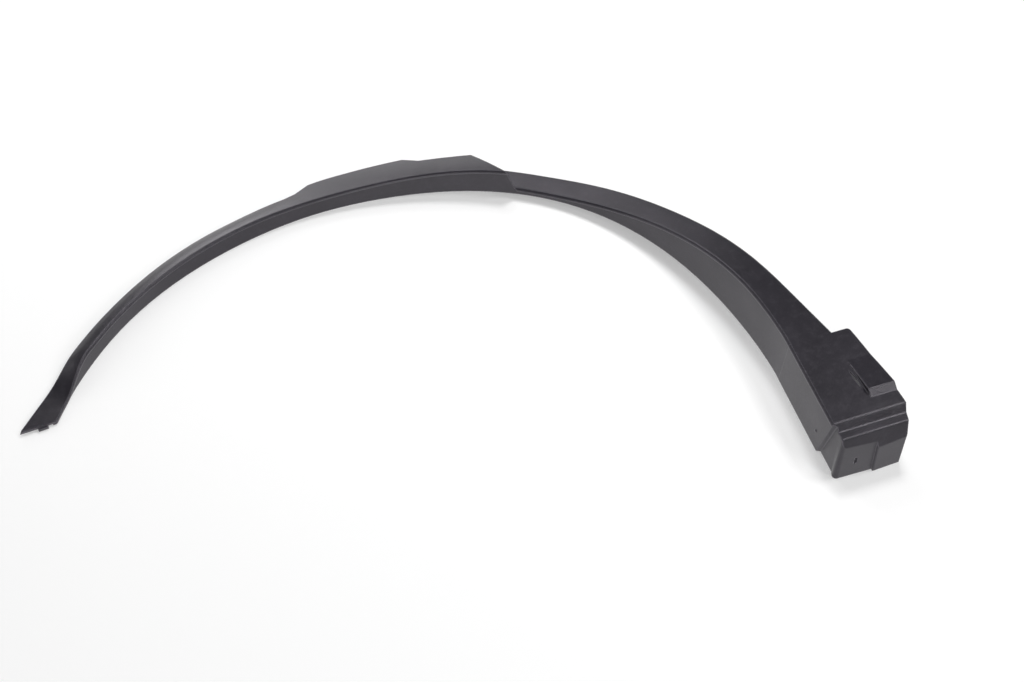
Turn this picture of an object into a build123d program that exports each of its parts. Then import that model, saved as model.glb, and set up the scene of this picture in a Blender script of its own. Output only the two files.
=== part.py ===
from build123d import *
import os
from math import cos, pi, radians, sin, tan

# Wheel arch trim: one open-backed moulding that wraps the edge of a wheel opening.
# Millimetres and degrees. The wheel axis is Z through the origin, X runs fore and aft,
# Y up the car and Z outboard. The trim lies on its lip, visible side up, on Z = 0.
# Angles are measured about the wheel axis from +X, so the arch runs from high to low.

# The moulding
wall = 2.6
opening_radius = 380.0
opening_bulge = 9.5
edge_lift = 7.2
bow_start_angle = 90.0
bow_end_angle = 3.0
crease_chamfer = 2.2
lip_draft = 1.0
lip_seat = 0.6

# Slim half, from the pointed tip to the step
tip_cut_angle = 152.55
tip_cut_turn = 6.0
tip_chamfer = 1.4
tip_bevel = 0.9
tip_tangent_angle = 141.5
tip_lip = 4.4
slim_lip = 20.5
step_lip = 33.4
lip_fade_start_angle = 148.5
lip_fade_end_angle = 141.0
lip_rise_start_angle = 98.0
slim_bead_step = 1.1
slim_width = 19.6
slim_swell = 7.0
foot_swell = 3.4
swell_start_angle = 135.0
swell_end_angle = 80.0
tip_slope = -0.04
slim_slope = 0.20
ear_slope = 0.16
slim_sag = 0.013
ear_sag = 0.003
ear_blend_start_angle = 108.0
ear_blend_end_angle = 90.0
blank_margin = 12.0
tip_overrun_angle = 11.0
step_overrun_angle = 8.0

# Locating tab under the tip
tab_width = 10.0
tab_length = 17.0
tab_stand_out = 2.2
tab_thickness = 3.0
tab_inset = 6.5

# Mounting ear at the crown of the slim half: angle and stand-out from the opening of each outline corner
ear_start_angle = 97.5
ear_ramp_foot = (95.5, 27.0)
ear_ramp_top = (92.9, 38.2)
ear_crown = (84.1, 42.1)
ear_notch_start = (77.3, 47.1)
ear_notch_end = (74.6, 37.7)
ear_peak = (66.2, 43.6)

# Oblique step between the slim half and the broad half
step_angle = 59.2
step_turn = 29.0
step_lean = 12.0

# Broad half, from the step to the end block
broad_start_angle = 69.0
broad_end_angle = -5.0
broad_step_height = 14.5
broad_face_height = 58.5
broad_rise_start_angle = 55.0
broad_rise_end_angle = 8.0
broad_width = 36.4
broad_swell = 4.2
broad_swell_start_angle = 62.0
broad_swell_end_angle = 26.0
broad_edge_tangent_angle = 13.0
step_roll = 2.0
edge_roll = 5.0
roll_start_angle = 32.0
roll_end_angle = 14.0
skirt_depth = 12.0
bead_height = 3.8
bead_step = 0.7

# End block: runs down from the shoulder, reaches out from the opening
end_overlap = 40.0
end_lean = 3.0
shoulder_drop = 11.0
shoulder_width = 17.1
shoulder_radius = 4.0
block_length = 100.0
tread = 16.0
front_run = 11.0
side_reach = 74.6
side_middle_reach = 72.2
side_middle_run = 49.0
side_turn = -74.4
side_depth = 13.0
riser_run = 7.0
riser_drop = 6.5
ridge_radius = 1.5
corner_radius = 1.6
front_slope = 1.75
front_turn = 1.8
front_draft = 8.2
joggle = 4.2
joggle_run = 2.4
joggle_lead = 8.5
joggle_lean = 9.0
tongue_knee = 9.0
tongue_flare = 4.0
tongue_radius = 4.0
shoulder_height = -shoulder_drop
first_ridge = shoulder_height - block_length
second_ridge = first_ridge - tread
front_foot = second_ridge - front_run
joggle_foot = first_ridge + joggle_lead

# Raised wedge on the shoulder and the drain slit beside it
wedge_reach = 45.0
wedge_length = 40.0
wedge_height = 5.0
wedge_lead = 23.0
wedge_fall = 6.5
slit_reach = 41.8
slit_lead = 40.0
slit_length = 26.0
slit_width = 2.8
slit_turn = 4.0
wedge_crest = first_ridge + wedge_lead
wedge_foot = wedge_crest - wedge_fall
wedge_start = wedge_crest + wedge_length
wedge_side = opening_radius + wedge_reach

# Front wall: seating pad and clip slot
pad_reach = 35.6
pad_stand_out = 2.6
pad_turn = -1.9
pad_radius = 1.2
slot_width = 3.0
slot_height = 8.0
slot_depth = 1.7
slot_across = 23.0
slot_up = 21.0
gate_lead = 19.0
gate_up = 20.0
gate_radius = 1.5
gate_height = 0.6

# Back of the moulding: clip towers and gusset ribs
slim_tower_angles = (130.0, 113.0)
slim_tower_offset = 11.0
ear_tower_angle = 82.0
ear_tower_offset = 25.0
broad_tower_angles = (32.0, 14.0)
broad_tower_offset = 18.0
end_tower_reach = 54.5
end_tower_run = 53.0
tower_length = 22.0
tower_width = 18.0
tower_drop = 14.0
tower_sweep = 4.0
tower_hole_radius = 4.0
shelf_thickness = 2.4
leg_thickness = 2.0
rib_angles = (22.0, 6.0)
rib_width = 22.0
rib_height = 30.0
rib_thickness = 1.6


# Where a box sits against its own origin
on_top = (Align.CENTER, Align.CENTER, Align.MIN)
hung_under = (Align.CENTER, Align.CENTER, Align.MAX)
below_y = (Align.CENTER, Align.MAX, Align.CENTER)


def ease(value, start, end):
    """Smooth step from 0 at start to 1 at end."""
    share = min(max((value - start) / (end - start), 0.0), 1.0)
    return share * share * (3.0 - 2.0 * share)


def mix(first, second, share):
    return first + (second - first) * share


def spaced(start, end, count):
    """Evenly spaced angles, both ends included."""
    return [start + (end - start) * step / (count - 1) for step in range(count)]


def polar(angle, radius):
    return (radius * cos(radians(angle)), radius * sin(radians(angle)))


def section_plane(angle):
    """Plane through the wheel axis: local X is the radius, local Y is the height."""
    across = Vector(cos(radians(angle)), sin(radians(angle)), 0)
    along = Vector(sin(radians(angle)), -cos(radians(angle)), 0)
    return Plane(origin=(0, 0, 0), x_dir=across, z_dir=along)


def stand_out(angle, out):
    """Plan point that stands out from the wheel opening."""
    return polar(angle, opening_radius + out)


def hump(angle, start, end):
    """Smooth hump: 0 at both ends and outside them, 1 in the middle."""
    share = (start - angle) / (start - end)
    return sin(pi * share) ** 2 if 0.0 < share < 1.0 else 0.0


def bow(angle):
    """How far the lip is into its bow."""
    return hump(angle, bow_start_angle, bow_end_angle)


def lip_radius(angle):
    """The wheel opening: a circle with a bow in it, and a leaning straight line below the axle."""
    if angle < 0.0:
        return opening_radius / (cos(radians(angle)) - tan(radians(end_lean)) * sin(radians(angle)))
    return opening_radius + opening_bulge * bow(angle)


def lip_foot(angle):
    return edge_lift * bow(angle)


# Slim half: an L section whose face rolls down and outwards from the crease
def slim_crease(angle):
    full = mix(slim_lip, step_lip, ease(angle, lip_rise_start_angle, step_angle))
    return lip_foot(angle) + mix(tip_lip, full, ease(angle, lip_fade_start_angle, lip_fade_end_angle))


def slim_edge(angle):
    """Radius of the slim half's outer edge, which swells between the tip and the ear."""
    return opening_radius + slim_width + slim_swell * hump(angle, swell_start_angle, swell_end_angle)


def slim_blank_edge(angle):
    """Radius of the untrimmed blank's outer edge."""
    widen = ease(angle, ear_blend_start_angle, ear_blend_end_angle)
    return opening_radius + mix(slim_width + slim_swell, ear_notch_start[1], widen) + blank_margin


def slim_chamfer(angle):
    """Size of the crease's chamfer, which fades towards the tip."""
    return mix(tip_bevel, crease_chamfer, ease(angle, lip_fade_start_angle, lip_fade_end_angle))


def slim_face(angle):
    """Slope and sag of the face, as drop per mm and per square mm from the crease."""
    widen = ease(angle, ear_blend_start_angle, ear_blend_end_angle)
    fade = ease(angle, lip_fade_start_angle, lip_fade_end_angle)
    slope = mix(tip_slope, mix(slim_slope, ear_slope, widen), fade)
    sag = mix(0.0, mix(slim_sag, ear_sag, widen), fade)
    return slope, sag


def lip_face(angle, crease, set_back, height):
    """Radius of the lip's outer face at a height: it leans in from its top to its foot."""
    top = crease - lip_seat * bead_height
    swell = foot_swell * hump(angle, swell_start_angle, swell_end_angle) / (top - lip_foot(angle))
    return lip_radius(angle) + set_back - (top - height) * (tan(radians(lip_draft)) + swell)


def lip_profile(angle, crease, set_back):
    """The lip's wall, set back from the bead and ending inside the plate above it."""
    foot = lip_foot(angle)
    top = crease - lip_seat * bead_height
    low = lip_face(angle, crease, set_back, foot)
    high = lip_face(angle, crease, set_back, top)
    corners = ((low, foot), (high, top), (high + wall, top), (low + wall, foot))
    return section_plane(angle) * make_face(Polyline(*corners, close=True))


def face_height(angle, radius, below):
    """Height of the slim half's face at a radius, or of the surface that far below it."""
    slope, sag = slim_face(angle)
    run = radius - lip_radius(angle) - crease_chamfer
    steep = slope + 2.0 * sag * run
    return slim_crease(angle) - slope * run - sag * run * run - below * (1.0 + steep * steep) ** 0.5


def face_curve(angle, first, last, below):
    """The face is a parabola: its middle control point is where its end tangents cross."""
    slope, sag = slim_face(angle)
    steep = slope + 2.0 * sag * (first - lip_radius(angle) - crease_chamfer)
    start = face_height(angle, first, below)
    control = ((first + last) / 2.0, start - steep * (last - first) / 2.0)
    return Bezier((first, start), control, (last, face_height(angle, last, below)))


def slim_plate(angle):
    """The rolled face, with its chamfered bead along the crease."""
    crown = lip_radius(angle)
    crease = slim_crease(angle)
    edge = slim_blank_edge(angle)
    chamfer = slim_chamfer(angle)
    start = crown + chamfer
    top = face_height(angle, start, 0.0)
    inner = crown + slim_bead_step + wall / 2.0
    lines = Polyline((inner, face_height(angle, inner, wall)), (inner, crease - bead_height),
                     (crown, crease - bead_height), (crown, top - chamfer), (start, top))
    lines += face_curve(angle, start, edge, 0.0)
    lines += Line((edge, face_height(angle, edge, 0.0)), (edge, face_height(angle, edge, wall)))
    lines += face_curve(angle, inner, edge, wall)
    return section_plane(angle) * make_face(lines)


def slim_fill(angle, edge, bottom):
    """The space under the face, from the middle of the lip to an outer radius."""
    crease = slim_crease(angle)
    top = crease - lip_seat * bead_height
    inner = lip_face(angle, crease, slim_bead_step, top) + wall / 2.0
    low = lip_face(angle, crease, slim_bead_step, bottom) + wall / 2.0
    lines = Polyline((edge, face_height(angle, edge, wall / 2.0)), (edge, bottom), (low, bottom),
                     (inner, top), (inner, face_height(angle, inner, wall / 2.0)))
    lines += face_curve(angle, inner, edge, wall / 2.0)
    return section_plane(angle) * make_face(lines)


slim_start_angle = lip_fade_start_angle + tip_overrun_angle
slim_end_angle = step_angle - step_overrun_angle
slim_angles = spaced(slim_start_angle, slim_end_angle, 37)
slim_blank = loft([slim_plate(angle) for angle in slim_angles])
slim_blank += loft([lip_profile(angle, slim_crease(angle), slim_bead_step) for angle in slim_angles])


# Broad half: a flat face between a growing lip and a rolled outer edge with a short skirt
def broad_face(angle):
    rise = ease(angle, broad_rise_start_angle, broad_rise_end_angle)
    return mix(broad_step_height, broad_face_height, rise)


def broad_edge(angle):
    """Outer edge: a swelling arc about the wheel that leaves along its tangent near the end block."""
    past = max(broad_edge_tangent_angle - angle, 0.0)
    swell = broad_swell * hump(angle, broad_swell_start_angle, broad_swell_end_angle)
    return (opening_radius + broad_width) / cos(radians(past)) + swell


def broad_plate(angle):
    """The flat face, with its bead along the crease, its rolled edge and its skirt."""
    crown = lip_radius(angle)
    face = broad_face(angle)
    edge = broad_edge(angle)
    inner = crown + bead_step + wall / 2.0
    outer = edge - wall
    roll = mix(step_roll, edge_roll, ease(angle, roll_start_angle, roll_end_angle))
    middle = roll * (1.0 - cos(pi / 4.0))
    lines = Polyline((outer, face - wall), (inner, face - wall), (inner, face - bead_height),
                     (crown, face - bead_height), (crown, face - crease_chamfer),
                     (crown + crease_chamfer, face), (edge - roll, face))
    lines += ThreePointArc((edge - roll, face), (edge - middle, face - middle), (edge, face - roll))
    lines += Polyline((edge, face - roll), (edge, face - skirt_depth), (outer, face - skirt_depth),
                      (outer, face - wall))
    return section_plane(angle) * make_face(lines)


broad_angles = spaced(broad_start_angle, broad_end_angle, 31)
broad_blank = loft([broad_plate(angle) for angle in broad_angles])
broad_blank += loft([lip_profile(angle, broad_face(angle), bead_step) for angle in broad_angles])

# The step: one oblique plane ends the slim half and starts the broad half
step_point = polar(step_angle, lip_radius(step_angle)) + (slim_crease(step_angle),)
step_normal = Vector(
    cos(radians(step_turn)) * cos(radians(step_lean)),
    sin(radians(step_turn)) * cos(radians(step_lean)),
    sin(radians(step_lean)),
)
step_plane = Plane(origin=step_point, z_dir=step_normal)
step_cut_size = 0.6 * opening_radius
cut_sizes = (step_cut_size, step_cut_size, step_cut_size)
beyond_step = step_plane * Box(*cut_sizes, align=on_top)
before_step = step_plane * Box(*cut_sizes, align=hung_under)
step_slab = step_plane * Box(step_cut_size, step_cut_size, wall, align=hung_under)
step_fill = loft([
    slim_fill(angle, opening_radius + ear_notch_start[1], broad_step_height - wall / 2.0)
    for angle in spaced(broad_start_angle, slim_end_angle, 5)
])

# Plan outline of the slim half, with the ear's ramp, notch and peak
reach = 4.0 * opening_radius
inside = opening_radius - blank_margin
tip_edge_radius = slim_edge(tip_tangent_angle) / cos(radians(slim_start_angle - tip_tangent_angle))
notch_end = Vector(*stand_out(*ear_notch_end))
ear_beyond = notch_end + (Vector(*stand_out(*ear_peak)) - notch_end) * 3.0
edge_points = [polar(angle, slim_edge(angle)) for angle in spaced(tip_tangent_angle, ear_start_angle, 9)]
slim_edges = Polyline(polar(slim_start_angle, inside), polar(slim_start_angle, tip_edge_radius),
                      edge_points[0])
slim_edges += Spline(*edge_points)
slim_edges += Polyline(edge_points[-1], stand_out(*ear_ramp_foot), stand_out(*ear_ramp_top))
slim_edges += ThreePointArc(stand_out(*ear_ramp_top), stand_out(*ear_crown), stand_out(*ear_notch_start))
slim_edges += Polyline(stand_out(*ear_notch_start), notch_end, ear_beyond, polar(slim_end_angle, inside))
slim_edges += CenterArc((0, 0), inside, slim_end_angle, slim_start_angle - slim_end_angle)
slim_outline = extrude(make_face(slim_edges), amount=reach, both=True)
slim_half = (slim_blank & slim_outline) - beyond_step
slim_half += step_fill & step_slab & slim_outline

# The tip is cut off across, chamfered along the cut, and has a tab under it
tip_point = stand_out(tip_cut_angle, crease_chamfer)
tip_cut = Plane(origin=(*tip_point, tip_lip)).rotated((0, 0, tip_cut_turn))
tip_waste = Box(reach, reach, reach, align=below_y)
slim_half -= tip_cut * tip_waste
slim_half -= tip_cut * Pos(0, tip_chamfer, 0) * Rot(-45, 0, 0) * tip_waste
slim_half += tip_cut * Pos(-tab_inset, -tab_stand_out, -tip_lip) * Box(
    tab_width, tab_length, tab_thickness, align=(Align.MAX, Align.MIN, Align.MIN)
)

# The broad half runs from the step down to the shoulder of the end block
below_shoulder = Pos(0, shoulder_height, 0) * Box(reach, reach, reach, align=below_y)
broad_half = broad_blank - before_step - below_shoulder


# End block: plan outlines at two heights carry the drafts, a side profile carries the stairs
def lip_x(y, height):
    """The lip's outer wall below the axle at a height: a straight line, leaning in like the lip above it."""
    below = broad_face_height - lip_seat * bead_height - height
    return opening_radius + bead_step + tan(radians(end_lean)) * y - tan(radians(lip_draft)) * below


def broad_edge_x(y):
    """The broad half's outer edge near the end block, a straight line."""
    turn = radians(broad_edge_tangent_angle)
    return (opening_radius + broad_width - y * sin(turn)) / cos(turn)


def crossing(point, way, other, other_way):
    """Where the line through one point meets the line through another."""
    span = way.X * other_way.Y - way.Y * other_way.X
    gap = other - point
    return point + way * ((gap.X * other_way.Y - gap.Y * other_way.X) / span)


def bearing(turn):
    """Direction along +X, turned towards -Y."""
    return Vector(cos(radians(turn)), -sin(radians(turn)))


def end_outline(height, inset):
    """Plan outline of the end block at one height, drawn in by an inset, and left long towards the arch."""
    back = height * tan(radians(front_draft))
    front = Vector(lip_x(front_foot, height), front_foot + back)
    pad = crossing(front, bearing(front_turn), Vector(opening_radius + pad_reach, 0), Vector(0, 1))
    pad_corner = pad - Vector(0, pad_stand_out)
    step_y = joggle_foot - height * tan(radians(joggle_lean))
    tongue_way = Vector(tan(radians(end_lean)), 1.0)
    tongue_top = Vector(lip_x(step_y - joggle_run, height) + joggle, step_y - joggle_run)
    tongue = crossing(tongue_top, tongue_way, front, bearing(front_turn))
    knee = tongue + tongue_way * tongue_knee
    tongue -= Vector(tongue_flare * (1.0 - height / broad_face_height), 0)
    notch = Vector(broad_edge_x(shoulder_height), shoulder_height)
    shoulder = notch + Vector(shoulder_width, 0)
    side_middle = (opening_radius + side_middle_reach, shoulder_height - side_middle_run)
    side_end = Vector(opening_radius + side_reach, first_ridge)
    corner = crossing(side_end, bearing(side_turn), pad_corner, bearing(pad_turn))
    lines = Polyline(
        side_end, corner, pad_corner, pad, tongue, knee, tongue_top, Vector(lip_x(step_y, height), step_y),
        Vector(lip_x(end_overlap, height), end_overlap), Vector(broad_edge_x(end_overlap), end_overlap),
        notch, shoulder,
    )
    lines += ThreePointArc(shoulder, side_middle, side_end)
    outline = fillet(make_face(lines).vertices().sort_by_distance(tongue)[0], tongue_radius)
    outline = fillet(outline.vertices().sort_by_distance(shoulder)[0], shoulder_radius)
    if inset > 0.0:
        return offset(outline, -inset, kind=Kind.INTERSECTION)
    outline = fillet(outline.vertices().sort_by_distance(corner)[0], corner_radius)
    return fillet(outline.vertices().sort_by_distance(pad_corner)[0], pad_radius)


def end_prism(inset):
    """The block's walls as one solid, drawn in by an inset."""
    levels = (-wall, broad_face_height + 2.0 * wedge_height)
    return loft([Pos(0, 0, level) * end_outline(level, inset) for level in levels], ruled=True)


stair_top = broad_face_height - riser_drop
stair_foot = -wall * 4.0
stairs = make_face(Polyline(
    (end_overlap, stair_foot), (end_overlap, broad_face_height), (first_ridge, broad_face_height),
    (first_ridge - riser_run, stair_top), (second_ridge, stair_top),
    (second_ridge - (stair_top - stair_foot) / front_slope, stair_foot), close=True,
))
ridges = [(first_ridge, broad_face_height, 0), (second_ridge, stair_top, 0)]
for ridge in ridges:
    stairs = fillet(stairs.vertices().sort_by_distance(ridge)[0], ridge_radius)
wedge = make_face(Polyline(
    (wedge_start, broad_face_height), (wedge_crest, broad_face_height + wedge_height),
    (wedge_foot, broad_face_height), (wedge_foot, broad_face_height - wedge_height),
    (wedge_start, broad_face_height - wedge_height), close=True,
))
crest = (wedge_crest, broad_face_height + wedge_height, 0)
wedge = fillet(wedge.vertices().sort_by_distance(crest)[0], ridge_radius)


def from_side(sketch, x):
    """Extrude a side profile, drawn in Y and Z, outwards from one X."""
    return extrude(Plane(origin=(x, 0, 0), x_dir=(0, 1, 0), z_dir=(1, 0, 0)) * sketch, amount=reach)


def end_solid(inset):
    """The closed block, drawn in by an inset on every side but its foot."""
    profile = offset(stairs, -inset) if inset > 0.0 else stairs
    outside = from_side(profile, 0.0) + from_side(Pos(0, -inset) * wedge, wedge_side + inset)
    return end_prism(inset) & outside


end_block = end_solid(0.0)

# The bead and its chamfer run on along the block's crease
crease_plane = Plane(
    origin=(opening_radius + tan(radians(end_lean)) * shoulder_height, shoulder_height, broad_face_height),
    x_dir=(cos(radians(end_lean)), -sin(radians(end_lean)), 0),
    z_dir=(-sin(radians(end_lean)), -cos(radians(end_lean)), 0),
)
bead_width = crease_chamfer + bead_step
corners = ((0, -bead_height), (0, 0), (bead_width, 0), (bead_width, -bead_height))
bead = make_face(Polyline(*corners, close=True))
chamfer_waste = make_face(Polyline(
    (-bead_step, -bead_width), (bead_width, bead_step), (-bead_step, bead_step), close=True,
))
end_block += extrude(crease_plane * bead, amount=shoulder_height - first_ridge)
end_block -= extrude(crease_plane * chamfer_waste, amount=shoulder_height - second_ridge)
end_block -= end_solid(wall)

# The side wall is shallow beside the shoulder and grows to full depth at the front
side_waste = make_face(Polyline(
    (end_overlap, broad_face_height - side_depth), (wedge_crest, broad_face_height - side_depth),
    (second_ridge, 0), (second_ridge, stair_foot), (end_overlap, stair_foot), close=True,
))
end_block -= from_side(side_waste, wedge_side)

# Drain slit beside the wedge
slit = make_face(Polyline(
    (0, slit_length / 2.0), (-slit_width / 2.0, 0),
    (0, -slit_length / 2.0), (slit_width / 2.0, 0), close=True,
))
slit_middle = (opening_radius + slit_reach, first_ridge + slit_lead, broad_face_height)
slit_place = Pos(*slit_middle) * Rot(0, 0, slit_turn)
end_block -= slit_place * extrude(slit, amount=2.0 * wall, both=True)

# Blind clip slot in the front wall and the moulding's gate mark on the lip
front_normal = Vector(
    -sin(radians(front_turn)) * cos(radians(front_draft)),
    -cos(radians(front_turn)) * cos(radians(front_draft)),
    sin(radians(front_draft)),
)
front_origin = (lip_x(front_foot, 0.0), front_foot, 0)
front_plane = Plane(origin=front_origin, x_dir=bearing(front_turn), z_dir=front_normal)
end_block -= front_plane * Pos(slot_across, slot_up, 0) * Box(slot_width, slot_height, 2.0 * slot_depth)
lip_normal = (-cos(radians(end_lean)), sin(radians(end_lean)), 0)
gate_y = first_ridge + gate_lead
gate_plane = Plane(origin=(lip_x(gate_y, gate_up), gate_y, gate_up), z_dir=lip_normal)
end_block += gate_plane * Cylinder(gate_radius, 2.0 * gate_height)

# The block is trimmed to the table and to the shoulder
keep = Pos(0, shoulder_height, 0) * Box(reach, reach, reach, align=(Align.CENTER, Align.MAX, Align.MIN))
end_block &= keep


# Clip towers on the back
def clip_tower(place, angle, face, space):
    """A holed shelf that hangs on two legs from the face above it."""
    shelf = Box(tower_width, tower_length, shelf_thickness, align=on_top)
    shelf -= Cylinder(tower_hole_radius, 4.0 * shelf_thickness)
    leg = Box(tower_width, leg_thickness, 2.0 * tower_drop, align=on_top)
    for side in (-1, 1):
        shelf += Pos(0, side * (tower_length - leg_thickness) / 2.0, 0) * leg
    return (Pos(*place, face - tower_drop) * Rot(0, 0, angle) * shelf) & space


def broad_space(angle):
    """The space under the broad half's face."""
    inner = lip_radius(angle) + bead_step + wall / 2.0
    outer = broad_edge(angle) - wall / 2.0
    top = broad_face(angle) - wall / 2.0
    low = top - 2.0 * tower_drop
    corners = ((inner, low), (outer, low), (outer, top), (inner, top))
    return section_plane(angle) * make_face(Polyline(*corners, close=True))


def near(angle):
    return spaced(angle - tower_sweep, angle + tower_sweep, 3)


slim_towers = [(angle, lip_radius(angle) + slim_tower_offset) for angle in slim_tower_angles]
slim_towers.append((ear_tower_angle, lip_radius(ear_tower_angle) + ear_tower_offset))
for angle, radius in slim_towers:
    space = loft([slim_fill(way, radius + tower_width / 2.0, 0.0) for way in near(angle)])
    slim_half += clip_tower(polar(angle, radius), angle, face_height(angle, radius, 0.0), space)
for angle in broad_tower_angles:
    place = polar(angle, lip_radius(angle) + broad_tower_offset)
    space = loft([broad_space(way) for way in near(angle)])
    broad_half += clip_tower(place, angle, broad_face(angle), space)
end_tower = (opening_radius + end_tower_reach, shoulder_height - end_tower_run)
end_block += clip_tower(end_tower, -90.0, broad_face_height, end_solid(wall / 2.0))

# Gusset ribs stiffen the broad half between its lip and its face
for angle in rib_angles:
    inner = lip_radius(angle) + bead_step + wall / 2.0
    top = broad_face(angle) - wall / 2.0
    low = inner - rib_height * tan(radians(lip_draft))
    corners = ((inner, top), (inner + rib_width, top), (low, top - rib_height))
    gusset = section_plane(angle) * make_face(Polyline(*corners, close=True))
    broad_half += extrude(gusset, amount=rib_thickness / 2.0, both=True)

arch_trim = slim_half + broad_half + end_block

os.makedirs("parts", exist_ok=True)
export_step(arch_trim, "parts/arch_trim.step")
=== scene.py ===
import math

import bpy
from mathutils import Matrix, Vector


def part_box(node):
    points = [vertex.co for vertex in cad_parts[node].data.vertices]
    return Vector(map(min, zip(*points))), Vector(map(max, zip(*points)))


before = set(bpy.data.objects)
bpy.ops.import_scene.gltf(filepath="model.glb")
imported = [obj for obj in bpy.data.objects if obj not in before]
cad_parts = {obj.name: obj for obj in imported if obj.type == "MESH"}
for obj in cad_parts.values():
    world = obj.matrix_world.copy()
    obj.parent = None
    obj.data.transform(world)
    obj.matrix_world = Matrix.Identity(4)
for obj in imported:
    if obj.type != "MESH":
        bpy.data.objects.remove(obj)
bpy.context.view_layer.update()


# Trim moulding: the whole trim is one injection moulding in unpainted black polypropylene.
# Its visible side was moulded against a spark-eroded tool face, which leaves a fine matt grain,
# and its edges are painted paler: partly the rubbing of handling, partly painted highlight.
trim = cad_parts["arch_trim"]


def linear(hex_code):
    """The linear RGBA of an sRGB hex colour: each channel is (c + 0.055) / 1.055 to the power 2.4,
    or c / 12.92 where c is small."""
    channels = [int(hex_code[i:i + 2], 16) / 255 for i in (1, 3, 5)]
    return [c / 12.92 if c <= 0.04045 else ((c + 0.055) / 1.055) ** 2.4 for c in channels] + [1.0]


def add_node(tree, kind, settings=None, links=None):
    """Adds a node of that kind, gives its properties and sockets their settings, and links its inputs
    to the given output sockets. A number stands for a socket by its place."""
    node = tree.nodes.new(kind)
    for name, value in (settings or {}).items():
        if isinstance(name, int) or name in node.inputs:
            node.inputs[name].default_value = value
        else:
            setattr(node, name, value)
    for name, source in (links or {}).items():
        tree.links.new(source, node.inputs[name])
    return node


# Moulded grained black polypropylene: carbon black makes it dark and almost neutral, the grain spreads
# its sheen, dust shows as a paler grey, and the edges are a paler grey that is partly wear and partly
# painted highlight.
moulding = bpy.data.materials.new("moulded_grained_black_polypropylene")
moulding.use_nodes = True
tree = moulding.node_tree
tree.nodes.clear()
on_trim = add_node(tree, "ShaderNodeTexCoord").outputs["Object"]

# The real grain is about 0.4 mm apart, which is finer than the picture shows, so it is drawn at 1.6 mm.
grain_spacing, grain_height, grain_strength = 0.0016, 0.0002, 0.6
grain = add_node(tree, "ShaderNodeTexNoise",
                 {"Scale": 1 / grain_spacing, "Detail": 3.0, "Roughness": 0.6}, {"Vector": on_trim})
# The melt's flow and storage leave cloudy patches about 45 mm across.
cloud_spacing = 0.045
clouds = add_node(tree, "ShaderNodeTexNoise",
                  {"Scale": 1 / cloud_spacing, "Detail": 4.0, "Roughness": 0.55}, {"Vector": on_trim})
# Uneven cooling leaves the flat faces faintly wavy, about 60 mm from crest to crest.
wave_spacing, wave_height = 0.06, 0.0010
waves = add_node(tree, "ShaderNodeTexNoise",
                 {"Scale": 1 / wave_spacing, "Detail": 1.0}, {"Vector": on_trim})
# Dust and handling leave mottled spots about 7 mm across.
spot_spacing = 0.007
spots = add_node(tree, "ShaderNodeTexNoise",
                 {"Scale": 1 / spot_spacing, "Detail": 5.0, "Roughness": 0.7}, {"Vector": on_trim})
# Nearly all of a noise lies between these two values.
noise_low, noise_high = 0.3, 0.7

# The edges catch light as if rounded to 2.2 mm. The paler edge, partly wear and partly painted highlight,
# follows the cosine between the rounded normal and the flat one: it starts 6 degrees apart and is full at
# 26 degrees.
edge_radius = 0.0022
wear_and_highlight_start, wear_and_highlight_full, most_wear_and_highlight = 0.995, 0.90, 0.8
rounded = add_node(tree, "ShaderNodeBevel", {"samples": 8, "Radius": edge_radius})
flat = add_node(tree, "ShaderNodeNewGeometry")
agreement = add_node(tree, "ShaderNodeVectorMath", {"operation": "DOT_PRODUCT"},
                     {0: rounded.outputs["Normal"], 1: flat.outputs["Normal"]})
wear_and_highlight = add_node(tree, "ShaderNodeMapRange",
                {"From Min": wear_and_highlight_start, "From Max": wear_and_highlight_full, "To Min": 0.0, "To Max": most_wear_and_highlight},
                {"Value": agreement.outputs["Value"]})

# The colour is a clouded black, then dust in the spots, then a paler grey along the edges, partly wear
# and partly painted highlight. A Mix node set to RGBA takes its colours on sockets 6 and 7 and gives
# their mix on output 2.
first_colour, second_colour, mixed_colour = 6, 7, 2
deep_black, soft_black, dust_grey, rubbed_and_highlight_grey = "#1b1a1f", "#252329", "#3d3b41", "#57555b"
body = add_node(tree, "ShaderNodeValToRGB", {}, {"Fac": clouds.outputs["Fac"]})
clouding = ((noise_low, deep_black), (noise_high, soft_black))
for stop, (position, shade) in zip(body.color_ramp.elements, clouding):
    stop.position = position
    stop.color = linear(shade)
dust_start, dust_full, most_dust = 0.50, 0.75, 0.3
dust = add_node(tree, "ShaderNodeMapRange",
                {"From Min": dust_start, "From Max": dust_full, "To Min": 0.0, "To Max": most_dust},
                {"Value": spots.outputs["Fac"]})
dusty = add_node(tree, "ShaderNodeMix", {"data_type": "RGBA", second_colour: linear(dust_grey)},
                 {"Factor": dust.outputs["Result"], first_colour: body.outputs["Color"]})
# The paler edge grey is partly rubbed wear and partly a painted highlight on the ridges and the crease.
colour = add_node(tree, "ShaderNodeMix", {"data_type": "RGBA", second_colour: linear(rubbed_and_highlight_grey)},
                  {"Factor": wear_and_highlight.outputs["Result"], first_colour: dusty.outputs[mixed_colour]})

# The same spots vary the roughness, and the grain lies on the waves, which lie on the rounded edges.
handled_roughness, dusty_roughness = 0.33, 0.40
matt = add_node(tree, "ShaderNodeMapRange",
                {"From Min": noise_low, "From Max": noise_high,
                 "To Min": handled_roughness, "To Max": dusty_roughness},
                {"Value": spots.outputs["Fac"]})
wavy = add_node(tree, "ShaderNodeBump", {"Strength": 1.0, "Distance": wave_height},
                {"Height": waves.outputs["Fac"], "Normal": rounded.outputs["Normal"]})
grained = add_node(tree, "ShaderNodeBump", {"Strength": grain_strength, "Distance": grain_height},
                   {"Height": grain.outputs["Fac"], "Normal": wavy.outputs["Normal"]})
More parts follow.
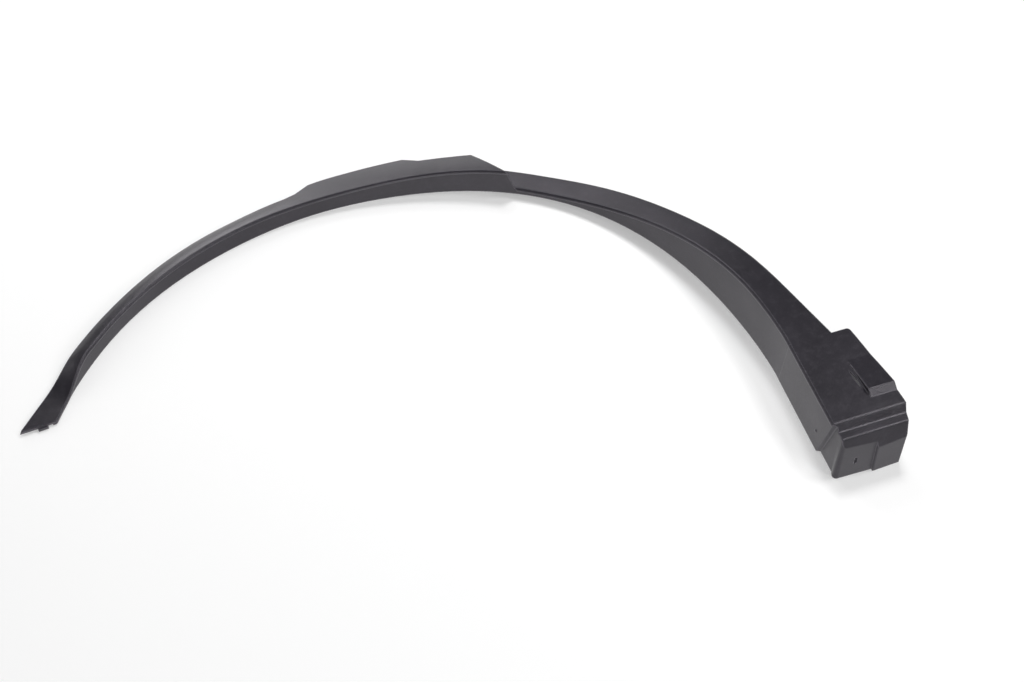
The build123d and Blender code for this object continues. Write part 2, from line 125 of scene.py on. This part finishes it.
# Polypropylene's IOR is 1.49. It is raised here to match the sheen that the trim shows.
skin_ior, sheen_tint = 1.58, "#fcf6ff"
skin = add_node(tree, "ShaderNodeBsdfPrincipled",
                {"IOR": skin_ior, "Specular Tint": linear(sheen_tint)},
                {"Base Color": colour.outputs[mixed_colour], "Roughness": matt.outputs["Result"],
                 "Normal": grained.outputs["Normal"]})
add_node(tree, "ShaderNodeOutputMaterial", {}, {"Surface": skin.outputs["BSDF"]})
trim.material_slots[0].material = moulding


# Table: a flat sheet of matt white paper under the trim, 12 m wide so that it fills every view.
# The trim rests on it by its lip, and the sheet lies a hair lower so that the two do not cut each other.
table_half, hair_gap = 6.0, 0.0002
corners = [(-table_half, -table_half, 0), (table_half, -table_half, 0),
           (table_half, table_half, 0), (-table_half, table_half, 0)]
sheet = bpy.data.meshes.new("table")
sheet.from_pydata(corners, [], [(0, 1, 2, 3)])
table = bpy.data.objects.new("table", sheet)
bpy.context.scene.collection.objects.link(table)
table.location.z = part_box("arch_trim")[0].z - hair_gap

# White paper: near the trim it is mostly lit paper, which keeps the shadow, with a share of plain white.
# That share grows with the distance from the wheel's centre until the far table is a plain white page,
# and the trim mirrors an almost plain white page too.
near_share, far_share, mirror_share = 0.33, 1.0, 0.95
shadow_reach, page_reach = 0.55, 1.3
paper_white, page_white = "#ffffff", "#fdfdfd"
paper = bpy.data.materials.new("white_paper")
paper.use_nodes = True
tree = paper.node_tree
tree.nodes.clear()
rays = add_node(tree, "ShaderNodeLightPath")
mirrored = add_node(tree, "ShaderNodeMath", {"operation": "MAXIMUM"},
                    {0: rays.outputs["Is Glossy Ray"], 1: rays.outputs["Is Transmission Ray"]})
mirrored_page = add_node(tree, "ShaderNodeMath", {"operation": "MULTIPLY", 1: mirror_share},
                         {0: mirrored.outputs["Value"]})
on_table = add_node(tree, "ShaderNodeTexCoord").outputs["Object"]
off_centre = add_node(tree, "ShaderNodeVectorMath", {"operation": "LENGTH"}, {0: on_table})
seen_page = add_node(tree, "ShaderNodeMapRange",
                     {"From Min": shadow_reach, "From Max": page_reach,
                      "To Min": near_share, "To Max": far_share},
                     {"Value": off_centre.outputs["Value"]})
page_share = add_node(tree, "ShaderNodeMath", {"operation": "MULTIPLY_ADD"},
                      {0: rays.outputs["Is Camera Ray"], 1: seen_page.outputs["Result"],
                       2: mirrored_page.outputs["Value"]})
lit = add_node(tree, "ShaderNodeBsdfDiffuse", {"Color": linear(paper_white)})
plain = add_node(tree, "ShaderNodeEmission", {"Color": linear(page_white), "Strength": 1.0})
page = add_node(tree, "ShaderNodeMixShader", {},
                {"Fac": page_share.outputs["Value"],
                 1: lit.outputs["BSDF"], 2: plain.outputs["Emission"]})
add_node(tree, "ShaderNodeOutputMaterial", {}, {"Surface": page.outputs["Shader"]})
sheet.materials.append(paper)


# Studio light: soft boxes round the trim, each a rectangle of cloth with a lamp behind it on a stand.
# The trim's sloping faces mirror those behind and above it, its lip and end wall are lit from the front,
# and a key lamp, hidden from reflections, gives the shadow on the table.
def soft_box(name, place, target, size, watts):
    """A rectangular area lamp at a place, facing its target, in metres and watts. Its tilt is the angle
    of the line to the target from straight down, and its turn is that line's heading."""
    lamp = bpy.data.lights.new(name, "AREA")
    lamp.shape = "RECTANGLE"
    lamp.size, lamp.size_y = size
    lamp.energy = watts
    box = bpy.data.objects.new(name, lamp)
    bpy.context.scene.collection.objects.link(box)
    box.location = place
    east, north, up = (t - p for t, p in zip(target, place))
    box.rotation_euler = (math.atan2(math.hypot(east, north), -up), 0, math.atan2(-east, north))
    return box


arch_middle, end_block = (0.1, 0.15, 0.0), (0.44, -0.09, 0.05)
soft_box("back_low", (0.35, 1.55, 0.27), arch_middle, (0.6, 0.5), 1.3)
soft_box("back_high", (0.35, 1.45, 1.30), arch_middle, (0.6, 0.5), 4.4)
soft_box("back_left", (-0.25, 1.60, 0.70), arch_middle, (0.5, 1.1), 6.9)
soft_box("left_low", (-2.0, 0.6, 0.45), arch_middle, (2.0, 0.8), 10)
soft_box("right_high", (1.35, 0.00, 1.75), arch_middle, (0.45, 0.45), 12)
soft_box("front_right", (1.28, -1.16, 1.32), end_block, (0.5, 0.35), 6.5)
soft_box("front_left", (-0.5, -2.1, 0.9), arch_middle, (1.4, 1.0), 22)
key = soft_box("key", (0.76, 1.06, 2.00), arch_middle, (0.5, 0.5), 25)
key.visible_glossy = False

# Room: dim all round. The camera sees it as the plain white page, and the trim mirrors that page faintly.
room_glow, room_mirror_share = 0.05, 0.08
room = bpy.data.worlds.new("room")
bpy.context.scene.world = room
room.use_nodes = True
tree = room.node_tree
tree.nodes.clear()
rays = add_node(tree, "ShaderNodeLightPath")
dim = add_node(tree, "ShaderNodeBackground", {"Color": linear(paper_white), "Strength": room_glow})
white = add_node(tree, "ShaderNodeBackground", {"Color": linear(page_white), "Strength": 1.0})
mirrored = add_node(tree, "ShaderNodeMath", {"operation": "MAXIMUM"},
                    {0: rays.outputs["Is Glossy Ray"], 1: rays.outputs["Is Transmission Ray"]})
white_share = add_node(tree, "ShaderNodeMath", {"operation": "MULTIPLY_ADD", 1: room_mirror_share},
                       {0: mirrored.outputs["Value"], 2: rays.outputs["Is Camera Ray"]})
seen = add_node(tree, "ShaderNodeMixShader", {},
                {"Fac": white_share.outputs["Value"],
                 1: dim.outputs["Background"], 2: white.outputs["Background"]})
add_node(tree, "ShaderNodeOutputWorld", {}, {"Surface": seen.outputs["Shader"]})


# Camera: the photograph's own place, about 1.3 m off and looking down on the trim at 52 degrees.
eye = bpy.data.cameras.new("photo_camera")
eye.sensor_fit = "HORIZONTAL"
eye.sensor_width = 36.0
eye.lens = 42.19
eye.clip_end = 60.0
camera = bpy.data.objects.new("photo_camera", eye)
bpy.context.scene.collection.objects.link(camera)
camera.location = (-0.1237, -0.6189, 1.0100)
camera.rotation_euler = (math.radians(38), 0, math.radians(-19))
bpy.context.scene.camera = camera
bpy.context.scene.view_settings.view_transform = "Standard"
